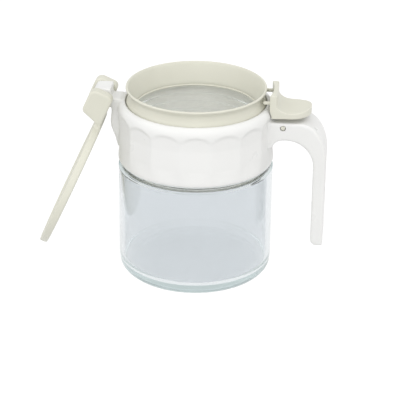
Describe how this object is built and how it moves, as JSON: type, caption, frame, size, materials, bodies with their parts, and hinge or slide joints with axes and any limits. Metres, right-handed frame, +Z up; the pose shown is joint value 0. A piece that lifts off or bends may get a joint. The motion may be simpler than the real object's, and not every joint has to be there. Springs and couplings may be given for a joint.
{
  "type": "flip-top spice jar",
  "caption": "Empty glass spice jar with a screw collar and handle, a funnel mouth ring, a flip-up lid hung open and a thumb lever.",
  "frame": {"origin": "centre of the jar's flat underside, on the jar's axis", "axes": "+Z up along the jar's axis, +X towards the handle, the lid's hinge on -X, +Y away from the side the picture is taken from"},
  "size_m": [0.1584, 0.085, 0.1071],
  "materials": {
    "clear_glass": "clear, thick bottom with a faint green tint",
    "white_plastic": "moulded, satin",
    "cream_plastic": "moulded, fine satin"
  },
  "bodies": {
    "root": {"jar_glass": "clear_glass", "mouth_ring": "cream_plastic", "collar": "white_plastic", "lever_pin": "cream_plastic"},
    "lid": {"lid": "cream_plastic"},
    "lever": {"lever": "cream_plastic"}
  },
  "joints": [
    {"name": "lid_hinge", "type": "hinge", "parent": "root", "child": "lid", "pos_m": [-0.0534, 0, 0.101], "axis": [0, 1, 0], "range_deg": [0, 245.5]},
    {"name": "lever_pivot", "type": "hinge", "parent": "root", "child": "lever", "pos_m": [0.0479, 0, 0.0885], "axis": [0, 1, 0], "range_deg": [0, 9], "stiffness_Nm_per_rad": 0.3, "springref_deg": -5.73}
  ]
}
